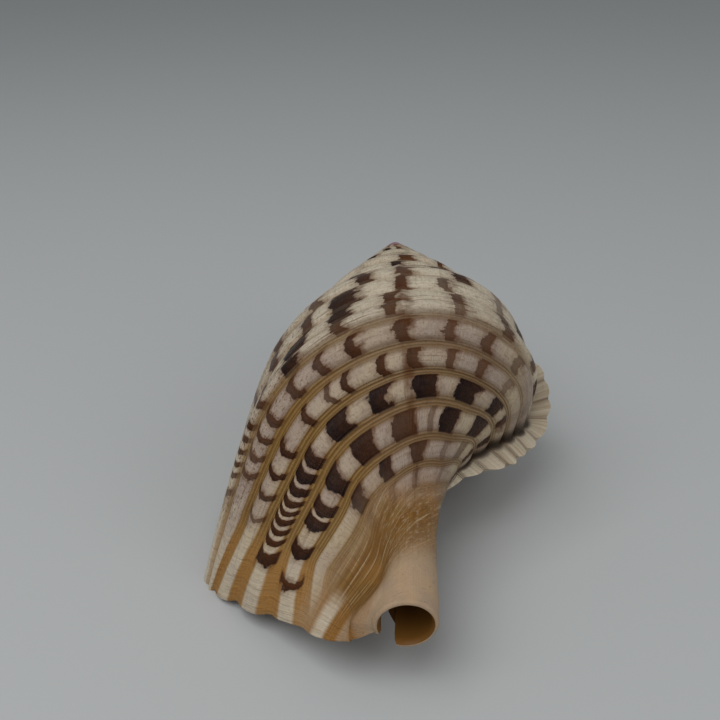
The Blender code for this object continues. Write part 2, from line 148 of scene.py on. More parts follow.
# The resting pose: how far down the axis it turns, and where that point lies, in metres.
PIVOT = 0.65
REST_PLACE = (0.0099, -0.0413, 0.0491)

# The camera's place and aim, in metres, as fitted to the photo's outline and cords.
CAMERA_PLACE = (-0.0122, -0.4130, 0.2713)
CAMERA_AIM = (-0.0121, 0.0110, 0.0606)
CAMERA_ROLL = math.radians(-0.53)
SENSOR = 36.0
# The soft lights' places and size in metres, and the grey room around the stage.
KEY_PLACE = (-0.50, -0.60, 1.40)
FILL_PLACE = (1.2, -1.2, 1.1)
LIGHT_AIM = (0.0, 0.0, 0.04)
LIGHT_SIZE = 1.4
FILL_SHARE = 0.50
ROOM = (0.80, 0.84, 0.86, 1.0)
ROOM_STRENGTH = 0.32


class ShellSizes(bpy.types.PropertyGroup):
    """Sizes of the shell. Those without a unit are shares of its length."""
    length: FloatProperty(name="Length", description="Apex to canal end", default=0.300,
                          unit="LENGTH")
    growth: FloatProperty(name="Growth", description="How much it grows each turn", default=1.506)
    turns: IntProperty(name="Turns", description="Whorls from apex to lip", default=7)
    lip_azimuth: FloatProperty(name="Lip azimuth", description="Where the lip is round the axis",
                               default=math.radians(153.35), subtype="ANGLE")
    canal_radius: FloatProperty(name="Canal radius", description="Outside of the canal's end",
                                default=0.0399)
    bore_radius: FloatProperty(name="Bore radius", description="Inside of the canal",
                               default=0.0325)
    slit_width: FloatProperty(name="Slit width", description="Opening along the canal",
                              default=0.040)
    flare: FloatProperty(name="Flare", description="How far the lip spreads", default=0.0884)
    flare_turn: FloatProperty(name="Flare turn", description="Share of a turn that flares",
                              default=0.147)
    drop: FloatProperty(name="Drop", description="How far the lip drops", default=0.0753)
    drop_turn: FloatProperty(name="Drop turn", description="Share of a turn that drops",
                             default=0.378)
    wall: FloatProperty(name="Wall", description="Thickness of the walls", default=0.011)
    lip: FloatProperty(name="Lip", description="Thickness of the lip's edge", default=0.005)
    cord_height: FloatProperty(name="Cord height", description="Rise of the cords", default=0.0055)
    tilt: FloatProperty(name="Tilt", description="Apex up at rest", default=math.radians(6.92),
                        subtype="ANGLE")
    roll: FloatProperty(name="Roll", description="Turn about the long axis at rest",
                        default=math.radians(0.47), subtype="ANGLE")
    rows: IntProperty(name="Rows", description="Mesh rows to a turn", default=200)


def colour(name, description, value):
    """A colour setting."""
    return FloatVectorProperty(name=name, description=description, default=value, size=3,
                               subtype="COLOR", min=0.0, max=1.0)


class ShellColours(bpy.types.PropertyGroup):
    """Colours of the shell."""
    white: colour("White", "Palest parts between the markings", (0.64, 0.55, 0.42))
    cream: colour("Cream", "Cords between the markings", (0.49, 0.39, 0.26))
    rose: colour("Rose grey", "Pinkish grey flush on the cords", (0.36, 0.275, 0.22))
    gold: colour("Gold", "Grooves between the cords", (0.27, 0.155, 0.045))
    brown: colour("Brown", "Fine lines and specks", (0.12, 0.06, 0.022))
    amber: colour("Amber", "Bars at the lip", (0.36, 0.165, 0.04))
    rust: colour("Rust", "Lighter markings and edges of the dark ones", (0.105, 0.034, 0.007))
    chocolate: colour("Chocolate", "Darkest markings", (0.010, 0.003, 0.002))
    ochre: colour("Ochre", "Base of the shell above the canal", (0.17, 0.075, 0.016))
    peach: colour("Peach", "The canal's outside", (0.52, 0.35, 0.205))
    apex: colour("Apex", "Mauve tip", (0.40, 0.23, 0.27))
    mouth: colour("Mouth", "Inside of the mouth", (0.60, 0.32, 0.14))
    # Painted shade: this dark colour far inside the mouth and the bore stands for the shade in the
    # hollows.
    deep_shade: colour("Deep", "Far inside", (0.12, 0.05, 0.018))
    enamel: colour("Enamel", "White of the lip and the folds", (0.70, 0.64, 0.54))


class StageLook(bpy.types.PropertyGroup):
    """Table, light and camera."""
    table: colour("Table", "Colour of the pale table", (0.50, 0.51, 0.51))
    light: FloatProperty(name="Light", description="Power of the large soft light", default=14.0,
                         unit="POWER")
    lens: FloatProperty(name="Lens", description="Camera lens in millimetres", default=48.0,
                        unit="CAMERA")


def sizes():
    """The sizes as set in the panel."""
    return bpy.context.scene.shell_sizes


def colours():
    """The colours as set in the panel."""
    return bpy.context.scene.shell_colours


def ease(low, high, x):
    """Smooth step from 0 at low to 1 at high, whichever is larger."""
    u = np.clip((x - low) / (high - low), 0.0, 1.0)
    return u * u * (3.0 - 2.0 * u)


def bell(x, centre, width):
    """Rounded bump of height 1 about a centre."""
    return np.exp(-((x - centre) / width) ** 2)


def natural_spline(knots, values, x):
    """Cubic curve through the points, with no bend at its two ends."""
    knots, values = np.asarray(knots), np.asarray(values)
    step = np.diff(knots)
    slope = np.diff(values) / step
    size = len(knots)
    system, right = np.eye(size), np.zeros(size)
    for i in range(1, size - 1):
        system[i, i - 1:i + 2] = (step[i - 1], 2 * (step[i - 1] + step[i]), step[i])
        right[i] = 6 * (slope[i] - slope[i - 1])
    bend = np.linalg.solve(system, right)
    k = np.clip(np.searchsorted(knots, x) - 1, 0, size - 2)
    a, b, h = knots[k + 1] - x, x - knots[k], step[k]
    return ((bend[k] * a ** 3 + bend[k + 1] * b ** 3) / (6 * h)
            + (values[k] / h - bend[k] * h / 6) * a + (values[k + 1] / h - bend[k + 1] * h / 6) * b)


def coil(t, s):
    """The smooth coil: the outline grows by a fixed factor each turn while it turns about -Z.

    Towards s = 2 the growth fades into the canal's fixed ring, and near t = 0 the lip
    spreads out and down. Metres, with the apex at 0 and the axis along Z.
    """
    k = sizes()
    t, s = np.broadcast_arrays(np.asarray(t, float), np.asarray(s, float))
    canal = ease(CANAL_START_S, 2.0, s)
    growth = k.growth ** (t * (1.0 - canal))
    radius = natural_spline(PROFILE_S, PROFILE_RADIUS, s) * growth * (1.0 - canal)
    radius = radius + canal * k.canal_radius
    height = natural_spline(PROFILE_S, PROFILE_HEIGHT, s) * growth
    bulge = SPIRE_BULGE * np.sin(np.pi * np.clip(s, 0.0, 1.0)) ** 2
    radius = radius + bulge * growth * (1.0 - ease(-1.3, -0.9, t))
    spread = np.clip(1.0 + t / k.flare_turn, 0.0, 1.0) ** (3.0 - ease(0.9, 1.3, s))
    spread = spread * (1.0 - 0.104 * bell(s, 0.8, 0.35))
    radius = radius + k.flare * spread * ease(0.0, 0.4, s) * (1.0 - ease(1.7, 2.0, s))
    web = np.clip(1.0 + t / 0.19, 0.0, 1.0) * np.clip(-t / 0.05, 0.0, 1.0)
    radius = radius + 0.022 * web * bell(s, 1.88, 0.075) * (1.0 - ease(1.93, 2.0, s))
    radius = radius + spread * natural_spline(LIP_S, LIP_OUT, s)
    radius = radius - 0.010 * bell(t, -0.575, 0.045) * bell(s, 0.95, 0.3)
    fall = np.clip(1.0 + t / k.drop_turn, 0.0, 1.0) ** 2
    height = height + k.drop * fall * ease(0.1, 0.9, s) * (1.0 - ease(1.6, 2.0, s))
    height = height + spread * natural_spline(LIP_S, LIP_DOWN, s)
    azimuth = k.lip_azimuth - 2.0 * np.pi * t
    aside = ease(1.4, 2.0, s)
    x = radius * np.cos(azimuth) + aside * CANAL_SHIFT[0]
    y = radius * np.sin(azimuth) + aside * CANAL_SHIFT[1]
    return np.stack([x, y, -height], axis=-1) * k.length


def unit(vectors):
    """Vectors of length 1."""
    return vectors / np.maximum(np.linalg.norm(vectors, axis=-1, keepdims=True), 1e-12)


def outward(t, s):
    """Unit normal of the smooth coil, from the cross product of its two slopes."""
    d = 1e-4
    return unit(np.cross(coil(t + d, s) - coil(t - d, s), coil(t, s + d) - coil(t, s - d)))


def turning(t):
    """Unit vector round the axis, against growth, at t."""
    azimuth = sizes().lip_azimuth - 2.0 * np.pi * t
    return np.stack([-np.sin(azimuth), np.cos(azimuth), np.zeros_like(azimuth)], axis=-1)


def scale_at(t, s):
    """How much smaller the shell was when it grew the place (t, s)."""
    return sizes().growth ** (t * (1.0 - ease(CANAL_START_S, 2.0, s)))


def cord_place(t, s):
    """Number and fraction of the grooves passed at (t, s), straight between each two."""
    sag = ease(-0.55, -0.42, t) * (1.0 - 0.45 * ease(-0.28, -0.16, t))
    spread = np.clip(1.0 + t / 0.06, 0.0, 1.0) ** 1.5
    places = [g + a * sag + b * spread for g, a, b in zip(GROOVE_S, GROOVE_SAG, GROOVE_SPREAD)]
    count = GROOVE_NUMBER[0]
    for here, there, step in zip(places, places[1:], np.diff(GROOVE_NUMBER)):
        count = count + step * np.clip((s - here) / (there - here), 0.0, 1.0)
    return count


def groove_distance(t, s):
    """Distance to the nearest groove, as a share of the step from one groove to the next."""
    place = cord_place(t, s)
    return np.abs(place - np.round(place))


def cord_height(t, s):
    """Height of the cords: flat tops parted by rounded grooves with fine riblets in them."""
    from_groove = groove_distance(t, s)
    groove = np.exp(-(from_groove / 0.19) ** 2)
    riblets = 0.09 * groove * np.cos(2.0 * np.pi * from_groove / 0.13)
    crown = 0.12 * np.cos(2.0 * np.pi * from_groove)
    fade = ease(0.0, 0.07, s) * (1.0 - 0.85 * ease(1.46, 1.64, s)) * (1.0 - ease(1.72, 1.90, s))
    fade = fade * (1.0 - 0.55 * ease(1.1, 0.8, s) * ease(-1.0, -0.8, t))
    return sizes().cord_height * (0.3 - groove + riblets - crown) * fade * scale_at(t, s)


def varix_share(t, s):
    """Share of a varix's full height: a slow rise behind it, a round crest and a steep front."""
    share = np.zeros(np.broadcast(t, s).shape)
    crest, full = -VARIX_TURNS[0], 1.0
    while crest > -sizes().turns:
        past = t - crest
        rise = np.clip(1.0 + past / 0.12, 0.0, 1.0) ** 1.8
        front = np.clip(1.0 - past * 170.0, 0.0, 1.0)
        share = np.maximum(share, full * np.where(past <= 0.0, rise, front))
        crest, full = crest - VARIX_TURNS[1], OLDER_VARIX
    return share * np.where(t >= -1.0, 1.0, 1.0 - ease(0.72, 1.0, s))


def growth_marks(t, s):
    """Low relief of old lips: fine steps across the whorls and the scar before the last lip."""
    steps = np.sin(2.0 * np.pi * 47.0 * t + 2.0 * np.sin(5.0 * s)) * np.sin(2.0 * np.pi * 19.0 * t)
    scar_at = SCAR_T + SCAR_LEAN * ease(*SCAR_S, s)
    scar = bell(t, scar_at, 0.004) - 0.6 * ease(scar_at - 0.02, scar_at, t) * (t < scar_at)
    return (0.00035 * steps + 0.0022 * scar) * ease(0.03, 0.2, s) * (1.0 - ease(1.55, 1.75, s))


def outside(t, s):
    """The outside: the coil raised by cords, growth marks and forward-leaning varices.

    The rise keeps to the half-plane through the axis, so that the lip stays in one plane.
    """
    t, s = np.broadcast_arrays(np.asarray(t, float), np.asarray(s, float))
    varix, cords = varix_share(t, s), cord_height(t, s)
    scallop = 1.0 + 12.0 * cords / scale_at(t, s)
    rib = varix * np.maximum(natural_spline(VARIX_S, VARIX_HEIGHT, s), 0.0)
    leaning = t + rib * (0.15 + 0.55 * (1.0 - ease(0.6, 1.05, s)))
    lift = cords + growth_marks(t, s) * scale_at(t, s)
    lift = (lift + rib * scallop * scale_at(t, s)) * sizes().length
    normal, around = outward(leaning, s), turning(leaning)
    normal = normal - around * np.sum(normal * around, axis=-1, keepdims=True)
    return coil(leaning, s) + normal * lift[..., None]


def rest_turn():
    """The turn that lays the coil's axis along Y with the mouth down, and its pivot."""
    lay = np.array(((1.0, 0.0, 0.0), (0.0, 0.0, 1.0), (0.0, -1.0, 0.0)))
    turn = Matrix.Rotation(sizes().tilt, 3, "X") @ Matrix.Rotation(sizes().roll, 3, "Y")
    return np.array(turn) @ lay, np.array((0.0, 0.0, -PIVOT * sizes().length))


def to_rest(points):
    """Lay the shell on its mouth: apex towards +Y, canal towards -Y, mouth down."""
    turn, pivot = rest_turn()
    return (points - pivot) @ turn.T + np.array(REST_PLACE)


def to_shell(points):
    """Back from the resting pose to the coil's own axes."""
    turn, pivot = rest_turn()
    return (points - np.array(REST_PLACE)) @ turn + pivot


def band_marks(band):
    """Middle, half width, tone and strength of every mark on a band, oldest first.

    The older ones follow a seeded rule: so many to a turn, at like places on all bands. Bands
    past the last one listed have none.
    """
    shared, own = np.random.default_rng(5), np.random.default_rng(40 + band)
    even = np.arange(*OLDER_MARKS, 1.0 / MARKS_PER_TURN)
    size = len(even)
    middle = even + shared.uniform(-0.018, 0.018, size) + own.uniform(-0.014, 0.014, size)
    half = shared.uniform(0.007, 0.015, size) * own.uniform(0.45, 1.1, size)
    tone = own.uniform(0.0, 1.0, size)
    strength = np.where(own.uniform(0.0, 1.0, size) < 0.66, 1.0, 0.2)
    older = np.stack([middle, half, tone, strength], axis=-1)
    listed = MARKS[min(max(band, min(MARKS)), max(MARKS))]
    table = np.concatenate([older, np.array(listed)])
    table[:, 3] *= band <= max(MARKS)
    return table


def marks(t, band):
    """For places on given bands: a count that is from 1/4 to 3/4 past a whole number on each
    mark, and the tone and strength of the nearest mark."""
    count, tone, strength = np.zeros_like(t), np.zeros_like(t), np.zeros_like(t)
    for number in np.unique(band):
        here = band == number
        table = band_marks(int(number))
        order = np.arange(len(table))
        edges = (table[:, :1] + table[:, 1:2] * (-1.0, 1.0)).ravel()
        shares = (order[:, None] + (0.25, 0.75)).ravel()
        edges = np.concatenate([[edges[0] - 0.03], np.maximum.accumulate(edges),
                                [edges[-1] + 0.02]])
        shares = np.concatenate([[0.0], shares, [len(table)]])
        count[here] = np.interp(t[here], edges, shares)
        nearest = np.clip(np.floor(count[here]), 0, len(table) - 1).astype(int)
        tone[here], strength[here] = table[nearest, 2], table[nearest, 3]
    return count, tone, strength


def zip_strip(first, second):
    """Triangles between two lines of vertices: always the next nearest share of either."""
    share = np.concatenate([np.linspace(0, 1, len(first))[1:], np.linspace(0, 1, len(second))[1:]])
    on_first = np.argsort(share, kind="stable") < len(first) - 1
    i, j = np.cumsum(on_first), np.cumsum(~on_first)
    i0, j0 = i - on_first, j - ~on_first
    third = np.where(on_first, first[i], second[j])
    return np.stack([first[i0], third, second[j0]], axis=-1)


def quads(grid):
    """Faces of a grid of vertex numbers."""
    corners = [grid[:-1, :-1], grid[1:, :-1], grid[1:, 1:], grid[:-1, 1:]]
    return np.stack(corners, axis=-1).reshape(-1, 4)


def fan(line, following, middle):
    """Triangles from the vertices of a line and those that follow them to one in the middle."""
    return np.stack([line, following, np.full(len(line), middle)], axis=-1)


class Skin:
    """Points with their places on the coil, and faces between them."""

    def __init__(self):
        self.points, self.places, self.faces, self.count = [], [], [], 0

    def add(self, points, t, s):
        """Adds a grid of points and returns its vertex numbers."""
        shape = points.shape[:-1]
        number = np.arange(self.count, self.count + int(np.prod(shape))).reshape(shape)
        self.count += number.size
        self.points.append(points.reshape(-1, 3))
        place = np.stack(np.broadcast_arrays(t, s), axis=-1)
        self.places.append(np.broadcast_to(place, shape + (2,)).reshape(-1, 2))
        return number

    def face(self, faces):
        """Adds rows of vertex numbers as faces."""
        self.faces.extend(map(tuple, np.asarray(faces).tolist()))

    def build(self, name, zone):
        """Mesh object with the coil places and the marks in two UV maps, faces turned outwards."""
        points = to_rest(np.concatenate(self.points))
        places = np.concatenate(self.places)
        mesh = bpy.data.meshes.new(name)
        mesh.from_pydata(points, [], self.faces)
        corner = np.empty(len(mesh.loops), dtype=np.int32)
        mesh.loops.foreach_get("vertex_index", corner)
        first = np.empty(len(mesh.polygons), dtype=np.int32)
        mesh.polygons.foreach_get("loop_start", first)
        t, s = places[corner, 0], places[corner, 1]
        size = np.diff(np.append(first, len(corner)))
        # A suture's points belong to two whorls, and count as the upper one's s = 1 there.
        upper = (zone == 0.0) & (s < np.repeat(np.maximum.reduceat(s, first), size) - 0.5)
        t, s = np.where(upper, t - 1.0, t), np.where(upper, s + 1.0, s)
        cord = cord_place(t, s)
        band = np.repeat(np.floor(np.add.reduceat(cord, first) / size), size)
        bend = np.where(band > -2, 0.010, 0.004) * (2.0 * (cord - band) - 1.0) ** 2
        count, tone, strength = marks(t + bend, band)
        layers = {"coil": (t, s), "marks": (count, strength), "tone": (tone, varix_share(t, s)),
                  "zone": (np.full(t.shape, zone), cord)}
        for layer, (u, v) in layers.items():
            mesh.uv_layers.new(name=layer).data.foreach_set("uv", np.stack([u, v], -1).ravel())
        work = bmesh.new()
        work.from_mesh(mesh)
        bmesh.ops.delete(work, geom=[v for v in work.verts if not v.link_faces], context="VERTS")
        bmesh.ops.remove_doubles(work, verts=work.verts, dist=1e-6)
        bmesh.ops.triangulate(work, faces=[f for f in work.faces if len(f.verts) > 4])
        bmesh.ops.recalc_face_normals(work, faces=work.faces)
        work.to_mesh(mesh)
        work.free()
        piece = bpy.data.objects.new(name, mesh)
        bpy.context.scene.collection.objects.link(piece)
        return piece


def turn_rows(rows):
    """Where the rows of a turn stand, in turns, closer together towards the lip."""
    return np.interp(np.linspace(0.0, 1.0, rows + 1), ROW_SHARES, ROW_TURNS)


def outside_skin():
    """The closed outside: turn by turn, sharing the sutures, with a round lip and canal end."""
    k, skin = sizes(), Skin()
    rows, suture = k.rows, PER_WHORL[0]
    t = turn_rows(rows)[:, None]
    whole = np.concatenate([np.linspace(0.0, 1.0, suture + 1),
                            np.linspace(1.0, 2.0, TO_CANAL + 1)[1:]])
    last = skin.add(outside(t, whole[None]), t, whole[None])
    last[0, suture] = last[rows, 0]
    skin.face(quads(last))
    before = last[:, :suture + 1]
    for turn in range(1, k.turns):
        t = turn_rows(rows)[:-1, None] - turn
        s = np.linspace(0.0, 1.0, PER_WHORL[turn] + 1)[None, :-1]
        own = skin.add(outside(t, s), t, s)
        grid = np.concatenate([own, before[:rows, :1]], axis=1)
        skin.face(quads(grid))
        skin.face(zip_strip(grid[-1], before[0]))
        before = grid
    # A fan closes the first turn, inside the round tip.
    rim = np.append(before[:, 0], before[0, -1])
    peak = (0.0, 0.0, -0.7 * PROFILE_HEIGHT[0] * k.growth ** -k.turns * k.length)
    tip = skin.add(np.array([peak]), -float(k.turns), 0.0)[0]
    skin.face(fan(rim[:-1], rim[1:], tip))
    skin.face([before[0, ::-1].tolist() + [tip]])
    line = round_lip(skin, last[rows], whole)
    inner = last[0, suture:]
    skin.face([line.tolist() + inner[-2:0:-1].tolist()])
    round_canal(skin, last[:-1, -1], turn_rows(rows)[:-1])
    return skin.build("shell_outside", 0.0)


def round_lip(skin, line, s):
    """The lip's edge turns over in a quarter circle, half as thick as the edge."""
    k, now = sizes(), np.zeros_like(s)
    over = 0.5 * (k.lip * k.length * ease(0.0, 0.25, s) * (1.0 - ease(1.88, 2.0, s)))[:, None]
    edge, normal, onward = outside(now, s), outward(now, s), -turning(now)
    onward = unit(onward - normal * np.sum(onward * normal, axis=-1, keepdims=True))
    for angle in QUARTER:
        lip = edge - normal * over * (1.0 - math.cos(angle)) + onward * over * math.sin(angle)
        following = skin.add(lip, 0.0, s)
        skin.face(quads(np.stack([line, following], axis=0)))
        line = following
    return line


def round_canal(skin, ring, t):
    """The canal's end turns in round its bore in a quarter circle, and is closed flat."""
    k = sizes()
    centre = np.array((*CANAL_SHIFT, -1.0)) * k.length
    rim = np.concatenate(skin.points)[ring]
    thick = (k.canal_radius - k.bore_radius) / k.canal_radius
    for angle in QUARTER:
        inset = 1.0 - 0.5 * thick * (1.0 - math.cos(angle))
        fall = np.array((0.0, 0.0, 0.5 * thick * k.canal_radius * k.length * math.sin(angle)))
        following = skin.add(centre + (rim - centre) * inset - fall, t, 2.0)
        pair = np.stack([ring, following], axis=1)
        skin.face(quads(np.concatenate([pair, pair[:1]], axis=0)))
        ring = following
    middle = skin.add(centre[None] - fall, -0.5, 2.0)[0]
    skin.face(fan(ring, np.roll(ring, -1), middle))


def tip_ball():
    """Round worn tip over the first turn: an egg of points at even steps of both angles."""
    k, skin = sizes(), Skin()
    around = np.linspace(0.0, 2.0 * np.pi, 49)[None, :-1]
    down = np.linspace(0.06, np.pi - 0.06, 24)[:, None]
    ball = np.stack([np.sin(down) * np.cos(around), np.sin(down) * np.sin(around),
                     np.cos(down) + 0.0 * around], axis=-1)
    rings = (ball * (TIP_RADIUS, TIP_RADIUS, TIP_HALF) - (0.0, 0.0, TIP_HEIGHT)) * k.length
    turn = np.full(rings.shape[:2], -float(k.turns))
    tube(skin, rings, turn, turn * 0.0 + 0.5)
    return skin.build("tip", 0.0)


def tube(skin, rings, t, s):
    """Closed tube through rings of points, with both ends filled."""
    grid = skin.add(rings, t, s)
    wrapped = np.concatenate([grid, grid[:, :1]], axis=1)
    skin.face(quads(wrapped))
    for row in (0, -1):
        mean = skin.add(rings[row].mean(axis=0)[None], t[row].mean(), s[row].mean())[0]
        skin.face(fan(grid[row], np.roll(grid[row], -1), mean))


def hollow_cutter():
    """The inside: a D-shaped tube between a whorl and the one before, opening at the mouth.

    Its wall thins round the lip in a half circle, and low folds run along its inner side.
    """
    k, skin = sizes(), Skin()
    columella = np.linspace(1.0, 1.98, 99)
    # The last few rings stand past the lip, so that the hollow opens there.
    turns = np.concatenate([np.linspace(-2.2, -0.32, 120), np.linspace(-0.31, 0.0, 63),
                            np.linspace(0.002, 0.09, 12)])
    rings, places_t, places_s = [], [], []
    for t in turns:
        # Across the outer wall, which reaches further towards the canal at the lip.
        end = 1.47 + 0.33 * float(ease(-0.11, 0.0, t)) + 0.09 * float(ease(-0.03, 0.0, t))
        s = np.linspace(0.12, end, 64)
        wall = k.wall + (k.lip - k.wall) * float(ease(-0.05, 0.0, t))
        wall = wall * (1.0 if t <= 0.0 else 0.5)
        teeth = 0.006 * bell(t, -0.022, 0.012) * tooth_rows(t, s)
        inset = (wall + teeth) * k.length * scale_at(t, s)
        outer = coil(t, s) - outward(t, s) * inset[:, None]
        # Back along the whorl before, from a foot a little above the outer wall's end.
        before = coil(t - 1.0, columella)
        foot_height = -outer[-1, 2] - 0.025 * k.length * k.growth ** t
        foot = np.interp(foot_height, -before[:, 2], columella)
        s_in = np.linspace(foot, 1.06, 40)
        proud = 0.005 * (1.0 - 1.1 * float(ease(-0.05, 0.01, t)))
        fold = 0.004 * bell(t, -0.01, 0.05) * fold_rows(s_in)
        proud = (proud + fold) * k.length * scale_at(t - 1.0, s_in)
        inner = coil(t - 1.0, s_in) + outward(t - 1.0, s_in) * proud[:, None]
        rings.append(np.concatenate([outer, inner]))
        places_t.append(np.full(len(s) + len(s_in), t))
        places_s.append(np.concatenate([s, s_in + 3.0]))
    tube(skin, np.array(rings), np.array(places_t), np.array(places_s))
    return skin.build("hollow", 1.0)


def tooth_rows(t, s):
    """Pairs of low teeth inside the lip, one pair to a groove of the outside."""
    pair = bell(groove_distance(t, s), 0.11, 0.06)
    return pair * ease(0.2, 0.35, s) * (1.0 - ease(1.35, 1.5, s))


def fold_rows(s):
    """Low wrinkles across the inner lip, closer together towards the canal."""
    wrinkle = 0.5 + 0.5 * np.cos(2.0 * np.pi * FOLDS * s)
    return wrinkle * ease(1.1, 1.25, s) * (1.0 - ease(1.8, 1.9, s))


def bore_cutter():
    """Round bore from the canal's end, bending aside into the mouth's hollow.

    Circles round a centre line, which a cubic curve moves aside as it rises from the end.
    """
    k, skin = sizes(), Skin()
    knots = np.array([1.03, 0.99, 0.94, 0.89, 0.84, 0.79, 0.75])
    asides = np.array([0.0, 0.0, 0.002, 0.014, 0.036, 0.062, 0.085])
    heights = np.linspace(1.02, 0.75, 55)
    aside = natural_spline(knots[::-1], asides[::-1], heights)
    follow = ease(0.80, 1.0, heights)
    centres = np.stack([follow * CANAL_SHIFT[0] - aside, follow * CANAL_SHIFT[1], -heights],
                       axis=-1)
    along = unit(np.gradient(centres, axis=0))
    side = unit(np.cross(along, (0.0, 1.0, 0.0)))
    up = np.cross(side, along)
    angle = np.linspace(0.0, 2.0 * np.pi, 65)[:-1]
    wall = k.canal_radius - k.bore_radius
    past = np.clip((heights - 1.0) / (0.5 * wall), 0.0, 1.0)
    radius = k.bore_radius - 0.004 * ease(0.97, 0.88, heights)
    radius = radius + 0.5 * wall * (1.0 - np.sqrt(1.0 - past ** 2))
    circle = (np.cos(angle)[None, :, None] * side[:, None]
              + np.sin(angle)[None, :, None] * up[:, None])
    rings = (centres[:, None] + radius[:, None, None] * circle) * k.length
    tube(skin, rings, np.broadcast_to(-angle / (2 * np.pi), rings.shape[:2]),
         np.broadcast_to(1.0 + heights[:, None], rings.shape[:2]))
    return skin.build("bore", 2.0)


def slit_cutter():
    """Blade that opens the canal's wall all along the lip's side of it: a run of rectangles."""
    k, skin = sizes(), Skin()
    around = k.lip_azimuth
    away = np.array([math.cos(around), math.sin(around), 0.0])
    over = np.array([math.sin(around), -math.cos(around), 0.0])
    rings = []
    # Each one's height down the axis, and how far out it reaches.
    stations = ((0.79, 0.085), (0.86, 0.08), (0.90, 0.08), (0.93, 0.075), (0.96, 0.075),
                (0.99, 0.075), (1.03, 0.075))
    for height, reach in stations:
        follow = float(ease(0.80, 1.0, height))
        middle = np.array([follow * CANAL_SHIFT[0], follow * CANAL_SHIFT[1], -height])
        wide = k.slit_width * (0.30 + 0.70 * float(ease(0.93, 0.99, height)))
        above = -0.016 + 0.014 * float(ease(0.86, 0.93, height))
        corners = ((0.025, above), (reach, above), (reach, wide), (0.025, wide))
        rings.append([middle + a * away + b * over for a, b in corners])
    rings = np.array(rings) * k.length
    tube(skin, rings, np.full(rings.shape[:2], 0.0), np.full(rings.shape[:2], 1.9))
    return skin.build("slit", 2.0)


def ground_cutter():
    """Block below the table, which wears the shell's lowest points flat as in the solid."""
    skin = Skin()
    # In metres, and larger than the shell.
    corners = ((-0.12, -0.2), (0.12, -0.2), (0.12, 0.2), (-0.12, 0.2))
    rings = to_shell(np.array([[(x, y, z) for x, y in corners] for z in (-0.03, 0.0)]))
    tube(skin, rings, np.full(rings.shape[:2], -0.5), np.full(rings.shape[:2], 1.0))
    return skin.build("ground", 0.0)


def carve(piece, added, cutters):
    """Adds one shape to the piece, takes the cutters away from it and removes them all."""
    for cutter in [added] + cutters:
        boolean = piece.modifiers.new(cutter.name, "BOOLEAN")
        boolean.operation = "UNION" if cutter is added else "DIFFERENCE"
        boolean.solver = "EXACT"
        boolean.object = cutter
    view = bpy.context.evaluated_depsgraph_get()
    carved = bpy.data.meshes.new_from_object(piece.evaluated_get(view))
    if not carved.polygons:
        raise RuntimeError("The cuts left nothing of the shell")
    piece.modifiers.clear()
    piece.data = carved
    for cutter in [added] + cutters:
        bpy.data.objects.remove(cutter)


class Value:
    """A socket of a material's nodes that takes part in arithmetic."""

    def __init__(self, net, socket):
        self.net, self.socket = net, socket

    def math(self, operation, *others):
        """Adds a Math node."""
        return self.net.node("ShaderNodeMath", {"operation": operation}, (self,) + others)

    def __add__(self, other):
        return self.math("ADD", other)

    def __sub__(self, other):
        return self.math("SUBTRACT", other)

    def __mul__(self, other):
        return self.math("MULTIPLY", other)

    def __rsub__(self, other):
        return self.net.node("ShaderNodeMath", {"operation": "SUBTRACT"}, (other, self))

    def __abs__(self):
        return self.math("ABSOLUTE")

    __radd__, __rmul__ = __add__, __mul__

    def step(self, low, high):
        """Smooth step from 0 at low to 1 at high, or falling where low is above high."""
        settings = {"interpolation_type": "SMOOTHSTEP"}
        if low < high:
            return self.net.node("ShaderNodeMapRange", settings, (self, low, high, 0.0, 1.0))
        return self.net.node("ShaderNodeMapRange", settings, (self, high, low, 1.0, 0.0))

    def most(self, other):
        return self.math("MAXIMUM", other)

    def least(self, other):
        return self.math("MINIMUM", other)


class Net:
    """The nodes of one material."""

    def __init__(self, name):
        self.material = bpy.data.materials.new(name)
        self.material.use_nodes = True
        self.tree = self.material.node_tree
        self.surface = self.tree.nodes["Principled BSDF"]

    def node(self, kind, settings=None, inputs=(), output=0):
        """Adds a node: its settings first, then its sockets' values or links, by place or name."""
        made = self.tree.nodes.new(kind)
        for key, value in (settings or {}).items():
            setattr(made, key, value)
        pairs = inputs.items() if isinstance(inputs, dict) else enumerate(inputs)
        for key, value in pairs:
            self.put(made.inputs[key], value)
        return Value(self, made.outputs[output])

    def put(self, socket, value):
        """Links or sets one socket."""
        if isinstance(value, Value):
            self.tree.links.new(value.socket, socket)
        elif hasattr(value, "__len__") and len(value) == 3 and socket.type == "RGBA":
            socket.default_value = (*value, 1.0)
        else:
            socket.default_value = value

    def mix(self, first, second, factor):
        """Mixes two colours, by the places of a Mix node's colour sockets."""
        inputs = {0: factor, 6: first, 7: second}
        return self.node("ShaderNodeMix", {"data_type": "RGBA"}, inputs, 2)

    def layered(self, colour, layers):
        """Mixes colours over a first one, each by its own factor, in order."""
        for over, factor in layers:
            colour = self.mix(colour, over, factor)
        return colour

    def surface_values(self, values):
        """Links or sets sockets of the surface by name."""
        for name, value in values.items():
            self.put(self.surface.inputs[name], value)

    def uv(self, layer):
        """The two parts of a UV map."""
        vector = self.node("ShaderNodeUVMap", {"uv_map": layer})
        split = self.node("ShaderNodeSeparateXYZ", None, (vector,))
        return split, Value(self, split.socket.node.outputs[1])

    def noise(self, vector, scale, detail=2.0, rough=0.5):
        """Noise about 0, from -0.5 to 0.5."""
        inputs = {"Vector": vector, "Scale": scale, "Detail": detail, "Roughness": rough}
        return self.node("ShaderNodeTexNoise", None, inputs) - 0.5

    def along(self, x, y, *texture):
        """Noise in the plane of two values, with its detail and roughness."""
        return self.noise(self.node("ShaderNodeCombineXYZ", None, (x, y)), 1.0, *texture)


